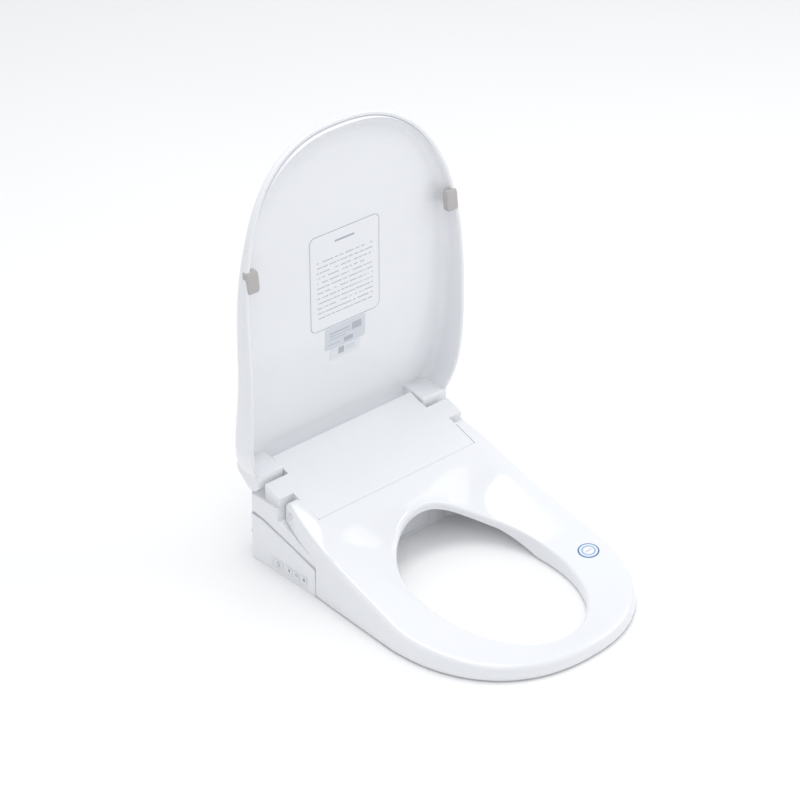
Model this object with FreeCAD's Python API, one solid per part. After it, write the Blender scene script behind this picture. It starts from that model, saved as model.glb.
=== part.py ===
import FreeCAD, Part
import math
import os
from FreeCAD import Vector

# Electric bidet seat, modelled with its lid open and its seat down.
# Origin: midway between the two fixing bolts, on the underside.
# +X is the sitter's left, +Y points back to the cistern, +Z is up. Millimetres.

# Seat
SEAT_HALF_WIDTH = 182.0
SEAT_FRONT_Y = -458.0
SEAT_CENTRE_Y = -262.0
SEAT_BOTTOM_Z = 1.5
SEAT_WALL = 3.0
OPENING_HALF_WIDTH = 105.0
OPENING_FRONT_Y = -411.0
OPENING_REAR_Y = -133.0
OPENING_CENTRE_Y = -262.0
SEAT_REACH_BACK = 272.0
SEAT_TAPER = 0.045
SEAT_AXIS_Y, SEAT_AXIS_Z = -57.0, 93.0
ARM_END_RADIUS, ARM_END_Y = 17.2, -43.0
ARM_INNER_X = 143.0
SEAT_REAR_EDGE_Y = -89.8
UNDERCUT_HALF_WIDTH = 112.0

# Lid
LID_HALF_WIDTH = 191.5
LID_TOP_Z = 588.0
LID_WIDEST_Z = 300.0
LID_BOTTOM_Z = 131.0
LID_WALL = 3.6
LID_TAIL_Z = 121.2
FILM_THICK = 0.35
LID_AXIS_Y, LID_AXIS_Z = 12.0, 119.0
EAR_INNER_X = 127.9
EAR_RADIUS = 13.4

# Case
CASE_HALF_WIDTH = 171.0
PANEL_THICK = 2.8
CASE_WALL = 2.6
CASE_FRONT_Y = -94.5
SIDE_FRONT_Y = -116.0
CASE_REAR_Y = 24.0
COVER_HALF_WIDTH = 142.4
COVER_FRONT_Y = -89.2
COVER_FRONT_Z = 95.7
COVER_REAR_Y = 24.4
COVER_SLOPE = 0.3433
BOSS_HALF_WIDTH = 167.0
BOSS_FRONT_Y, BOSS_REAR_Y = -37.6, -8.2
NECK_HALF_WIDTH = 127.2
LEDGE_Z = 99.5

# Hinge pins and dampers
PIN_RADIUS = 5.0
RUNNING_GAP = 0.05
DAMPER_RADIUS = 8.2

# Spray wand
WAND_TILT = math.radians(33.0)
WAND_RADIUS = 6.5
WAND_LENGTH = 112.0
WAND_TIP_Y, WAND_TIP_Z = -79.0, 27.1
PINION_RADIUS = 6.0
PINION_REACH = 66.0
RACK_HEIGHT = 3.0

# Spray gate
GATE_HALF_WIDTH = 51.5
GATE_BOTTOM_Z, GATE_AXIS_Z = 6.5, 43.0
GATE_AXIS_Y = -92.6
GATE_THICK = 2.0

# Side buttons
BUTTON_NAMES = ("rear_wash_button", "front_wash_button", "dryer_button", "stop_button")
BUTTON_CENTRES_Y = (-41.0, -62.8, -77.9, -93.0)
BUTTON_LENGTHS = (18.0, 11.0, 11.0, 11.0)
BUTTON_Z, BUTTON_HEIGHT = 14.6, 11.0
BUTTON_GAP = 0.3
PAD_FRONT_Y, PAD_REAR_Y = -103.0, -28.0
PAD_BOTTOM_Z, PAD_TOP_Z = 6.0, 23.2

# Fixing plate
BOLT_SPACING = 140.0
BOLT_SLOT_LENGTH, BOLT_SLOT_WIDTH = 26.0, 10.4
PLATE_THICK = 3.0

# Dryer fan
FAN_X, FAN_Y, FAN_Z = -94.0, -26.0, 14.0
FAN_RADIUS, FAN_HEIGHT = 34.0, 28.0


def box(x0, x1, y0, y1, z0, z1):
    return Part.makeBox(x1 - x0, y1 - y0, z1 - z0, Vector(x0, y0, z0))


def rod(axis, start, radius, length):
    return Part.makeCylinder(radius, length, Vector(*start), Vector(*axis))


def tube(axis, start, outer, inner, length):
    return rod(axis, start, outer, length).cut(rod(axis, start, inner, length))


def both_sides(shape):
    """The shape and its mirror image across the middle plane."""
    twin = shape.mirror(Vector(0, 0, 0), Vector(1, 0, 0))
    return Part.makeCompound([shape, twin])


def slab(points, x0, x1):
    """A side-view polygon of (y, z) points, carried from x0 to x1."""
    corners = [Vector(x0, y, z) for y, z in points]
    face = Part.Face(Part.makePolygon(corners + corners[:1]))
    return face.extrude(Vector(x1 - x0, 0, 0))


def smooth(points):
    curve = Part.BSplineCurve()
    curve.interpolate([Vector(*p) for p in points])
    return curve.toShape()


def closed_curve(points):
    curve = Part.BSplineCurve()
    curve.interpolate(Points=[Vector(*p) for p in points], PeriodicFlag=True)
    return curve.toShape()


def steps(start, stop, count):
    return [start + (stop - start) * i / (count - 1) for i in range(count)]


def save(shape, node):
    shape.removeSplitter().exportStep("parts/%s.step" % node)


# ---------------------------------------------------------------- lid

def lid_half_width(z, inset):
    """A full round top above the widest level, and rounded corners at the hinge."""
    if z >= LID_WIDEST_Z:
        share = (z - LID_WIDEST_Z) / (LID_TOP_Z - inset - LID_WIDEST_Z)
        return (LID_HALF_WIDTH - inset) * max(0.0, 1.0 - share ** 3.0) ** 0.42
    share = (LID_WIDEST_Z - z) / (LID_WIDEST_Z - LID_BOTTOM_Z)
    return LID_HALF_WIDTH - inset - 18.5 * share ** 6


def lid_rim_y(z):
    """The rim bows forward, most at the widest level of the skirt."""
    rise = z - 265.0
    return -15.5 + (3.0e-4 if rise > 0 else 8.6e-4) * rise * rise


def lid_panel_y(z):
    """The inner face of the panel: flat, and swept back at the hinge and the top."""
    low = max(0.0, (LID_WIDEST_Z - z) / 163.0)
    high = max(0.0, (z - 440.0) / 148.0)
    return 15.5 + 23.5 * low ** 1.6 + 12.0 * high ** 2


def lid_outline(inset, bottom):
    top = LID_TOP_Z - inset
    crown = [0.0, 0.03, 0.08, 0.16, 0.28, 0.44, 0.62, 0.82, 1.0]
    upper = [(lid_half_width(top - (top - LID_WIDEST_Z) * c, inset), top - (top - LID_WIDEST_Z) * c)
             for c in crown]
    lower = [(lid_half_width(max(z, LID_BOTTOM_Z), inset), z)
             for z in steps(LID_WIDEST_Z, LID_BOTTOM_Z, 7)[1:]]
    side = upper + lower
    points = [(-x, -60.0, z) for x, z in reversed(side)] + [(x, -60.0, z) for x, z in side[1:]]
    arch = smooth(points)
    ends = [Vector(*points[-1]), Vector(points[-1][0], -60.0, bottom),
            Vector(points[0][0], -60.0, bottom), Vector(*points[0])]
    foot = Part.makePolygon([v for i, v in enumerate(ends) if i == 0 or (v - ends[i - 1]).Length > 0.01])
    face = Part.Face(Part.Wire([arch] + foot.Edges))
    return face.extrude(Vector(0, 140.0, 0))


def lid_side(front, back, bottom, top):
    """The lid's side view between two curves that give y from z, as a wide slab."""
    levels = steps(bottom, top, 9)
    rim = smooth([(-220.0, front(z), z) for z in levels])
    rear = smooth([(-220.0, back(z), z) for z in levels])
    ends = [Part.makeLine(Vector(-220.0, front(z), z), Vector(-220.0, back(z), z)) for z in (bottom, top)]
    face = Part.Face(Part.Wire(Part.__sortEdges__([rim, rear] + ends)))
    return face.extrude(Vector(440.0, 0, 0))


def lid_ear():
    profile = [(-0.8, LID_AXIS_Z), (-0.8, 131.8), (38.0, 137.3), (42.8, 137.3),
               (41.0, 126.0), (27.0, 109.0), (LID_AXIS_Y, LID_AXIS_Z - EAR_RADIUS)]
    ear = slab(profile, EAR_INNER_X, 172.0)
    ear = ear.fuse(rod((1, 0, 0), (EAR_INNER_X, LID_AXIS_Y, LID_AXIS_Z), EAR_RADIUS, 172.0 - EAR_INNER_X))
    flank = slab([(-0.8, 131.0), (38.0, 137.3), (42.8, 137.3), (42.8, 146.0), (-0.8, 139.0)], 168.0, 186.0)
    ear = ear.fuse(flank.common(lid_outline(0.5, LID_BOTTOM_Z)))
    return ear.cut(rod((1, 0, 0), (EAR_INNER_X - 1, LID_AXIS_Y, LID_AXIS_Z), PIN_RADIUS, 29.0))


def lid_shell():
    outer = lid_outline(0.0, LID_BOTTOM_Z).common(
        lid_side(lid_rim_y, lambda z: lid_panel_y(z) + LID_WALL, LID_BOTTOM_Z, LID_TOP_Z))
    inner = lid_outline(LID_WALL, 100.0).common(
        lid_side(lambda z: -40.0, lid_panel_y, 100.0, LID_TOP_Z))
    shell = outer.cut(inner)
    shell = shell.cut(box(-EAR_INNER_X, EAR_INNER_X, -60.0, 80.0, 100.0, 137.3))
    panel_y = lid_panel_y(137.3)
    shell = shell.fuse(box(-EAR_INNER_X - 2.0, EAR_INNER_X + 2.0, panel_y, panel_y + LID_WALL, LID_TAIL_Z, 138.5))
    for side in both_sides(lid_ear()).Solids:
        shell = shell.fuse(side)
    return shell


def lid_bumpers(lid):
    level = 428.0
    pad = box(-9.8, 9.8, -1.7, 8.0, -15.0, 15.0)
    pad = pad.makeFillet(1.4, [e for e in pad.Edges if e.BoundBox.YMax < -1.0])
    lean = math.degrees(math.atan(2 * 3.0e-4 * (level - 265.0)))
    pad.rotate(Vector(0, 0, 0), Vector(1, 0, 0), -lean)
    pad.translate(Vector(173.6, lid_rim_y(level), level))
    return both_sides(pad.cut(lid))


def lid_hinge_pins():
    return both_sides(rod((1, 0, 0), (104.0, LID_AXIS_Y, LID_AXIS_Z), PIN_RADIUS, EAR_INNER_X + 28.0 - 104.0))


def lid_dampers():
    body = rod((1, 0, 0), (84.0, LID_AXIS_Y, LID_AXIS_Z), DAMPER_RADIUS, 40.0)
    return both_sides(body.cut(rod((1, 0, 0), (102.0, LID_AXIS_Y, LID_AXIS_Z), PIN_RADIUS + RUNNING_GAP, 23.0)))


def sticker(half_width, bottom, top, lid):
    """A printed film that lies on the lid's inner panel, with rounded corners."""
    film = lid_side(lambda z: lid_panel_y(z) - FILM_THICK, lambda z: lid_panel_y(z) + 0.6, bottom, top)
    card = box(-half_width, half_width, 0.0, 40.0, bottom, top)
    upright = [e for e in card.Edges if abs(e.Vertexes[0].Y - e.Vertexes[1].Y) > 1.0]
    return film.common(card.makeFillet(half_width / 8, upright)).cut(lid)


# ---------------------------------------------------------------- seat

def side_edge_z(y):
    """Height of the seat's outer upper edge: a wedge at the back, nearly level in front."""
    back = max(0.0, y + 300.0)
    front = min(1.0, max(0.0, (y + 458.0) / 158.0))
    return 20.5 + 11.5 * front ** 1.3 + 0.16 * back + 0.00048 * back * back


def bearings():
    """Bearings round the seat: even steps in front, and steps that grow from the widest line at the back."""
    back = [math.pi / 2 * (i / 10) ** 2 for i in range(11)]
    front = [math.pi * (1 + i / 16) for i in range(16)]
    return back + [math.pi - a for a in reversed(back[1:-1])] + front


def seat_outline(inset, z_drop):
    points = []
    for a in bearings():
        c, s = math.cos(a), math.sin(a)
        reach = (SEAT_CENTRE_Y - SEAT_FRONT_Y if s < 0 else SEAT_REACH_BACK) - inset
        power = 0.88 if s < 0 else 0.34
        y = SEAT_CENTRE_Y + reach * math.copysign(abs(s) ** power, s)
        half = (SEAT_HALF_WIDTH - inset) * (1 - SEAT_TAPER * max(0.0, y + 273.0) / SEAT_HALF_WIDTH)
        x = half * math.copysign(abs(c) ** power, c)
        z = side_edge_z(y) + (9.5 * (1 - (x / SEAT_HALF_WIDTH) ** 2) if s > 0 else 0.0)
        points.append((x, y, z - z_drop))
    return points


def opening_outline(inset, z_drop):
    points = []
    for a in bearings():
        c, s = math.cos(a), math.sin(a)
        reach = OPENING_CENTRE_Y - OPENING_FRONT_Y if s < 0 else OPENING_REAR_Y - OPENING_CENTRE_Y
        x = (OPENING_HALF_WIDTH + inset) * math.copysign(abs(c) ** 0.92, c)
        y = OPENING_CENTRE_Y + (reach + inset) * math.copysign(abs(s) ** 0.96, s)
        z = 13.0 + 16.0 * (1 + s) + 31.0 * max(0.0, s) ** 5
        points.append((x, y, z - z_drop))
    return points


def flat(points, z):
    return [(x, y, z) for x, y, _ in points]


def seat_ring(outer, inner, bottom_z):
    """A closed ring between an outer and an inner upper edge, with straight walls down."""
    loops = [closed_curve(p) for p in (inner, outer, flat(outer, bottom_z), flat(inner, bottom_z))]
    faces = [Part.makeRuledSurface(loops[i], loops[(i + 1) % 4]) for i in range(4)]
    ring = Part.Solid(Part.Shell([f for face in faces for f in face.Faces]))
    if ring.Volume < 0:
        ring.reverse()
    return ring


def under_seat_line(rise):
    """Side view of all that the seat leaves free for the case, raised by the given gap."""
    return [(-117.2 - rise, -20.0), (-117.2 - rise, 55.0 + rise), (-44.0, 79.4 + rise),
            (0.0, 94.0 + rise), (60.0, 94.0), (60.0, -20.0)]


def seat_clearance():
    """Room for the case under and between the seat's arms, and the rounded arm ends."""
    room = slab(under_seat_line(0.6), -220.0, 220.0)
    room = room.fuse(box(-ARM_INNER_X, ARM_INNER_X, SEAT_REAR_EDGE_Y, 60.0, -20.0, 200.0))
    behind = box(-220.0, 220.0, SEAT_AXIS_Y, 60.0, -20.0, 200.0)
    behind = behind.cut(rod((1, 0, 0), (-220.0, SEAT_AXIS_Y, SEAT_AXIS_Z), ARM_END_RADIUS, 440.0))
    return room.fuse(behind).fuse(box(-220.0, 220.0, ARM_END_Y, 60.0, -20.0, 200.0))


def seat_undercut(grow):
    """The raised underside behind the opening, which leaves the wand its way out."""
    x = UNDERCUT_HALF_WIDTH + grow
    return slab([(-196.0 - grow, -20.0), (-196.0 - grow, SEAT_BOTTOM_Z), (-131.0 - grow, 61.0 + grow),
                 (-60.0, 76.0 + grow), (-60.0, -20.0)], -x, x)


def seat_hollow():
    ring = seat_ring(seat_outline(SEAT_WALL, SEAT_WALL), opening_outline(SEAT_WALL, SEAT_WALL), -10.0)
    keep = slab([(-117.2 - 3.6, -20.0), (-117.2 - 3.6, 59.6), (-93.4, 67.0), (-93.4, 200.0),
                 (-600.0, 200.0), (-600.0, -20.0)], -220.0, 220.0)
    return ring.common(keep).cut(seat_undercut(SEAT_WALL))


def seat_full():
    ring = seat_ring(seat_outline(0.0, 0.0), opening_outline(0.0, 0.0), SEAT_BOTTOM_Z)
    return ring.cut(seat_clearance()).cut(seat_undercut(0.0))


def seat_pin_holes():
    return both_sides(rod((1, 0, 0), (ARM_INNER_X - 2.0, SEAT_AXIS_Y, SEAT_AXIS_Z), PIN_RADIUS, 24.0))


def seat_base_plate():
    ring = seat_ring(flat(seat_outline(SEAT_WALL + 0.3, 0.0), SEAT_BOTTOM_Z + 5.0),
                     flat(opening_outline(SEAT_WALL + 0.3, 0.0), SEAT_BOTTOM_Z + 5.0), SEAT_BOTTOM_Z + 2.0)
    plate = ring.common(box(-220.0, 220.0, -600.0, -121.2, -20.0, 200.0))
    plate = plate.cut(seat_undercut(SEAT_WALL + 0.3))
    return plate.cut(seat_bumper_pegs(4.1))


def between_outlines(share, z_drop):
    """A loop on the seat's top, a share of the way from the opening to the outer edge."""
    pairs = zip(opening_outline(0.0, z_drop), seat_outline(0.0, z_drop))
    return [tuple(a + (b - a) * share for a, b in zip(inner, outer)) for inner, outer in pairs]


def seat_heating_foil():
    rings = [between_outlines(0.2, 6.0), between_outlines(0.6, 6.0),
             between_outlines(0.6, 6.8), between_outlines(0.2, 6.8)]
    loops = [closed_curve(points) for points in rings]
    faces = [Part.makeRuledSurface(loops[i], loops[(i + 1) % 4]) for i in range(4)]
    foil = Part.Solid(Part.Shell([f for face in faces for f in face.Faces]))
    if foil.Volume < 0:
        foil.reverse()
    return foil.common(box(-220.0, 220.0, -600.0, -150.0, 0.0, 200.0)).cut(seat_undercut(SEAT_WALL + 1.0))


def bumper_places():
    return [(-150.0, -200.0), (150.0, -200.0), (-118.0, -385.0), (118.0, -385.0)]


def seat_bumper_pegs(radius):
    return Part.makeCompound([rod((0, 0, 1), (x, y, 1.0), radius, 8.0) for x, y in bumper_places()])


def seat_bumpers():
    feet = []
    for x, y in bumper_places():
        pad = box(x - 9.0, x + 9.0, y - 14.0, y + 14.0, 0.0, SEAT_BOTTOM_Z + 1.9)
        pad = pad.makeFillet(4.0, [e for e in pad.Edges if abs(e.Vertexes[0].Z - e.Vertexes[1].Z) > 1.0])
        feet.append(pad.fuse(rod((0, 0, 1), (x, y, 1.0), 4.0, 8.0)))
    return Part.makeCompound(feet)


def badge_frame():
    """A point and an upward direction on the seat's top, at its right front."""
    return Vector(142.0, -311.6, 24.6), Vector(-0.105, -0.095, 1.0)


def seat_badge():
    point, up = badge_frame()
    return Part.makeCylinder(15.0, 3.2, point, up)


def seat_upper_shell():
    point, up = badge_frame()
    shell = seat_full().cut(seat_hollow()).cut(seat_pin_holes())
    shell = shell.cut(Part.makeCylinder(15.1, 30.0, point - up * 0.2, up))
    return max(shell.Solids, key=lambda s: s.Volume)


def seat_hinge_pins():
    return both_sides(rod((1, 0, 0), (122.0, SEAT_AXIS_Y, SEAT_AXIS_Z), PIN_RADIUS, ARM_INNER_X + 22.0 - 122.0))


def seat_dampers():
    body = rod((1, 0, 0), (96.0, SEAT_AXIS_Y, SEAT_AXIS_Z), DAMPER_RADIUS, 43.0)
    return both_sides(body.cut(rod((1, 0, 0), (120.0, SEAT_AXIS_Y, SEAT_AXIS_Z), PIN_RADIUS + RUNNING_GAP, 20.0)))


# ---------------------------------------------------------------- case

def parting_line():
    """The joint between the lower housing and the top cover, seen from the side."""
    return [(SIDE_FRONT_Y, 41.0), (-8.8, 68.6), (CASE_REAR_Y, 71.5)]


def case_plan(inset, z0, z1):
    w, b = CASE_HALF_WIDTH - inset, CASE_REAR_Y - inset
    f, s = CASE_FRONT_Y + inset, SIDE_FRONT_Y + inset
    half = [(84.0 - inset / 2, f), (138.0 - inset / 2, s), (w, s), (w, b - 9.0), (w - 9.0, b)]
    ring = half + [(-x, y) for x, y in reversed(half)]
    corners = [Vector(x, y, z0) for x, y in ring]
    return Part.Face(Part.makePolygon(corners + corners[:1])).extrude(Vector(0, 0, z1 - z0))


def below_parting(drop):
    line = [(y, z - drop) for y, z in parting_line()]
    ends = [(60.0, line[-1][1]), (60.0, -20.0), (-160.0, -20.0), (-160.0, line[0][1] - 11.3)]
    return slab(line + ends, -220.0, 220.0)


def gate_window():
    return box(-GATE_HALF_WIDTH - 0.5, GATE_HALF_WIDTH + 0.5, CASE_FRONT_Y - 1.0, CASE_FRONT_Y + CASE_WALL + 2.2,
               GATE_BOTTOM_Z - 0.5, GATE_AXIS_Z + 4.2)


def screw_places():
    return [(side * x, y) for side in (-1, 1) for x, y in ((150.0, -100.0), (134.0, 16.0), (17.0, -85.0))]


def bolt_pockets(grow):
    """Room above the fixing plate for the heads of the two bolts."""
    pockets = [box(x - 17.0 - grow, x + 17.0 + grow, -12.0 - grow, 12.0 + grow, PLATE_THICK + 0.1, 11.0 + grow)
               for x in (-BOLT_SPACING / 2, BOLT_SPACING / 2)]
    return Part.makeCompound(pockets)


def base_housing():
    shell = case_plan(0.0, 0.0, 90.0).cut(case_plan(CASE_WALL, CASE_WALL, 90.0)).common(below_parting(0.0))
    shell = shell.cut(gate_window())
    for side in (-1, 1):
        x = side * (GATE_HALF_WIDTH + 2.5)
        lug = box(x - 1.8, x + 1.8, CASE_FRONT_Y + 0.2, GATE_AXIS_Y + 4.0, GATE_AXIS_Z - 4.0, GATE_AXIS_Z + 3.0)
        shell = shell.fuse(lug)
    shell = shell.cut(rod((1, 0, 0), (-56.2, GATE_AXIS_Y, GATE_AXIS_Z), 1.0, 112.4))
    for x, y in screw_places():
        shell = shell.cut(rod((0, 0, 1), (x, y, -1.0), 1.75, 8.0))
        shell = shell.cut(rod((0, 0, 1), (x, y, -1.0), 3.6, 2.2))
    recess = box(-96.0, 96.0, -52.0, 16.0, -1.0, PLATE_THICK + 0.2)
    shell = shell.fuse(box(-98.5, 98.5, -54.5, 18.5, 0.0, PLATE_THICK + 2.2)).fuse(bolt_pockets(2.0))
    shell = shell.cut(recess).cut(bolt_pockets(0.0))
    shell = shell.cut(rod((0, 1, 0), (150.0, 10.0, 25.0), 10.7, 30.0))
    shell = shell.cut(rod((0, 1, 0), (-150.0, 10.0, 25.0), 7.2, 30.0))
    x = CASE_HALF_WIDTH
    shell = shell.cut(box(x - 4.0, x + 1.0, -72.0, -56.0, 10.0, 20.0))
    return shell.cut(box(-x - 1.0, -x + 4.0, PAD_FRONT_Y + 1.5, PAD_REAR_Y - 1.5, PAD_BOTTOM_Z + 2.0, PAD_TOP_Z - 2.0))


def cover_ramp_z(y):
    return COVER_FRONT_Z + COVER_SLOPE * (y - COVER_FRONT_Y)


def cover_solid(t):
    """The top cover's outer form, or with a wall thickness t its inner form."""
    open_z = -20.0 if t else 0.0
    low = slab([(SIDE_FRONT_Y + t, open_z), (SIDE_FRONT_Y + t, 55.0 - t), (-44.0 + t, 78.8 - t),
                (-37.8 + t, 81.0 - t), (-37.8 + t, LEDGE_Z - t), (CASE_REAR_Y - t, LEDGE_Z - t),
                (CASE_REAR_Y - t, open_z)], -CASE_HALF_WIDTH + t, CASE_HALF_WIDTH - t)
    low = low.common(case_plan(t, -20.0, 200.0))
    x = COVER_HALF_WIDTH - t
    hump = slab([(COVER_FRONT_Y + t, open_z), (COVER_FRONT_Y + t, COVER_FRONT_Z - t),
                 (COVER_REAR_Y - t, cover_ramp_z(COVER_REAR_Y) - t), (COVER_REAR_Y - t, open_z)], -x, x)
    x = BOSS_HALF_WIDTH - t
    boss = slab([(BOSS_FRONT_Y + t, open_z + 50.0), (BOSS_FRONT_Y + t, cover_ramp_z(BOSS_FRONT_Y) - t),
                 (BOSS_REAR_Y - t, cover_ramp_z(BOSS_REAR_Y) - t), (BOSS_REAR_Y - t, open_z + 50.0)], -x, x)
    solid = low.fuse(hump).fuse(boss)
    nook = box(NECK_HALF_WIDTH - t, 200.0, BOSS_REAR_Y - t, 60.0, LEDGE_Z - t, 200.0)
    return solid.cut(both_sides(nook))


def cover_posts():
    """Posts that reach down to the housing's floor and take the case screws."""
    posts = Part.makeCompound([rod((0, 0, 1), (x, y, CASE_WALL + 0.1), 3.6, 130.0) for x, y in screw_places()])
    holes = Part.makeCompound([rod((0, 0, 1), (x, y, 0.0), 1.75, 11.0) for x, y in screw_places()])
    return posts.common(cover_solid(0.0)).cut(holes)


def top_cover():
    shell = cover_solid(0.0).cut(cover_solid(CASE_WALL)).cut(below_parting(-0.1))
    for post in cover_posts().Solids:
        shell = shell.fuse(post)
    shell = shell.cut(both_sides(rod((1, 0, 0), (100.0, LID_AXIS_Y, LID_AXIS_Z), PIN_RADIUS + 0.6, 40.0)))
    shell = shell.cut(both_sides(rod((1, 0, 0), (130.0, SEAT_AXIS_Y, SEAT_AXIS_Z), PIN_RADIUS + 0.6, 20.0)))
    return max(shell.Solids, key=lambda s: s.Volume)


def side_panel():
    """The skin on the case's flank below the parting line, on the -X side."""
    line = [(y, z - 0.2) for y, z in parting_line()]
    profile = [(SIDE_FRONT_Y, 0.0)] + line[:2] + [(14.0, 70.4), (14.0, 0.0)]
    skin = slab(profile, -CASE_HALF_WIDTH - PANEL_THICK, -CASE_HALF_WIDTH - 0.05)
    rear = [e for e in skin.Edges if e.BoundBox.XMax < -CASE_HALF_WIDTH - 2.0 and e.BoundBox.YMin > 13.0]
    return skin.makeFillet(2.4, rear)


def control_side_panel():
    x = CASE_HALF_WIDTH
    return side_panel().cut(box(-x - 4.0, -x + 1.0, PAD_FRONT_Y, PAD_REAR_Y, PAD_BOTTOM_Z, PAD_TOP_Z))


def plain_side_panel():
    panel = side_panel().mirror(Vector(0, 0, 0), Vector(1, 0, 0))
    return panel.cut(box(CASE_HALF_WIDTH - 1.0, CASE_HALF_WIDTH + 4.0, -72.0, -56.0, 10.0, 20.0))


def button_block(index, grow, x0, x1):
    y, w, h = BUTTON_CENTRES_Y[index], BUTTON_LENGTHS[index] / 2 + grow, BUTTON_HEIGHT / 2 + grow
    return box(x0, x1, y - w, y + w, BUTTON_Z - h, BUTTON_Z + h)


def button_trim():
    x = CASE_HALF_WIDTH
    plate = box(-x - 2.2, -x - 0.05, PAD_FRONT_Y + 0.1, PAD_REAR_Y - 0.1, PAD_BOTTOM_Z + 0.1, PAD_TOP_Z - 0.1)
    for i in range(len(BUTTON_NAMES)):
        plate = plate.cut(button_block(i, BUTTON_GAP, -x - 5.0, -x + 5.0))
    return plate


def side_button(index):
    cap = button_block(index, 0.0, -CASE_HALF_WIDTH - 2.7, -CASE_HALF_WIDTH + 0.6)
    flange = button_block(index, 0.9, -CASE_HALF_WIDTH + 0.4, -CASE_HALF_WIDTH + 1.4)
    return cap.fuse(flange)


def button_board():
    x = -CASE_HALF_WIDTH + 5.0
    board = box(x, x + 1.6, PAD_FRONT_Y, PAD_REAR_Y, BUTTON_Z - 8.0, BUTTON_Z + 9.0)
    for y in BUTTON_CENTRES_Y:
        board = board.fuse(box(x - 1.8, x, y - 3.0, y + 3.0, BUTTON_Z - 3.0, BUTTON_Z + 3.0))
    return board


def mounting_plate():
    plate = box(-95.5, 95.5, -51.5, 15.5, 0.0, PLATE_THICK)
    plate = plate.makeFillet(6.0, [e for e in plate.Edges if abs(e.Vertexes[0].Z - e.Vertexes[1].Z) > 1.0])
    for x in (-BOLT_SPACING / 2, BOLT_SPACING / 2):
        half = (BOLT_SLOT_LENGTH - BOLT_SLOT_WIDTH) / 2
        plate = plate.cut(box(x - half, x + half, -BOLT_SLOT_WIDTH / 2, BOLT_SLOT_WIDTH / 2, -1.0, 10.0))
        for end in (-half, half):
            plate = plate.cut(rod((0, 0, 1), (x + end, 0.0, -1.0), BOLT_SLOT_WIDTH / 2, 11.0))
    return plate


def release_button():
    cap = box(CASE_HALF_WIDTH - 2.0, CASE_HALF_WIDTH + 5.4, -71.6, -56.4, 10.4, 19.6)
    upright = [e for e in cap.Edges if abs(e.Vertexes[0].X - e.Vertexes[1].X) > 1.0]
    return cap.makeFillet(2.5, upright)


def release_latch():
    bar = box(104.0, CASE_HALF_WIDTH - 2.0, -68.0, -60.0, 10.4, 14.0)
    return bar.fuse(box(104.0, 108.0, -68.0, -60.0, 6.0, 14.0))


def case_screws():
    screws = []
    for x, y in screw_places():
        shank = rod((0, 0, 1), (x, y, 0.8), 1.7, 9.0)
        screws.append(shank.fuse(rod((0, 0, 1), (x, y, 0.2), 3.5, 0.9)))
    return Part.makeCompound(screws)


# ---------------------------------------------------------------- wash unit

def along_wand(distance, lift=0.0):
    """A point behind the wand's tip by distance, lifted square to the wand."""
    a, n = (math.cos(WAND_TILT), math.sin(WAND_TILT)), (-math.sin(WAND_TILT), math.cos(WAND_TILT))
    return (WAND_TIP_Y + distance * a[0] + lift * n[0], WAND_TIP_Z + distance * a[1] + lift * n[1])


def wand_rod(start, radius, length):
    y, z = along_wand(start)
    return rod((0, math.cos(WAND_TILT), math.sin(WAND_TILT)), (0.0, y, z), radius, length)


def wand_block(x0, x1, d0, d1, n0, n1):
    return slab([along_wand(d0, n0), along_wand(d1, n0), along_wand(d1, n1), along_wand(d0, n1)], x0, x1)


def nozzle_tip():
    tip = wand_rod(0.0, WAND_RADIUS - 0.1, 16.0)
    for reach in (4.0, 6.5, 9.0):
        y, z = along_wand(reach)
        tip = tip.cut(rod((0, -math.sin(WAND_TILT), math.cos(WAND_TILT)), (0.0, y, z), 0.7, 8.0))
    return tip.cut(wand_rod(12.0, 3.6, 5.0))


def wand_tube():
    body = wand_rod(16.0, WAND_RADIUS, WAND_LENGTH - 16.0).cut(wand_rod(16.0, 3.5, WAND_LENGTH - 16.0))
    return body.fuse(wand_rod(12.0, 3.5, 8.0).cut(wand_rod(12.0, 2.2, 8.0)))


def wand_rack():
    return wand_block(-2.0, 2.0, 22.0, WAND_LENGTH, WAND_RADIUS - 0.3, WAND_RADIUS + RACK_HEIGHT).cut(
        wand_rod(16.0, WAND_RADIUS, WAND_LENGTH))


def wand_guide():
    sleeve = wand_rod(8.0, 10.0, 42.0)
    foot = box(-10.0, 10.0, -78.0, -55.0, CASE_WALL, 44.0).cut(wand_block(-20, 20, -40.0, 90.0, -4.0, 60.0))
    guide = sleeve.fuse(foot).cut(wand_rod(-5.0, WAND_RADIUS + RUNNING_GAP, 90.0))
    return guide.cut(wand_block(-2.6, 2.6, -5.0, 80.0, 0.0, 20.0))


def pinion_centre():
    return along_wand(PINION_REACH, WAND_RADIUS + RACK_HEIGHT + 0.3 + PINION_RADIUS)


def drive_pinion():
    y, z = pinion_centre()
    wheel = rod((1, 0, 0), (-2.5, y, z), PINION_RADIUS, 5.0).fuse(rod((1, 0, 0), (2.5, y, z), 3.0, 3.0))
    return wheel.cut(rod((1, 0, 0), (-3.0, y, z), 1.5 + RUNNING_GAP, 9.0))


def wand_motor():
    y, z = pinion_centre()
    can = rod((1, 0, 0), (8.5, y, z), 12.0, 15.0).fuse(rod((1, 0, 0), (-2.0, y, z), 1.5, 11.0))
    strap = box(9.0, 11.0, y - 16.0, y + 16.0, z - 4.0, z + 4.0)
    foot = box(9.0, 11.0, y - 16.0, y - 12.0, z - 4.0, z + 4.0)
    return can.fuse(strap).fuse(foot)


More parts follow.
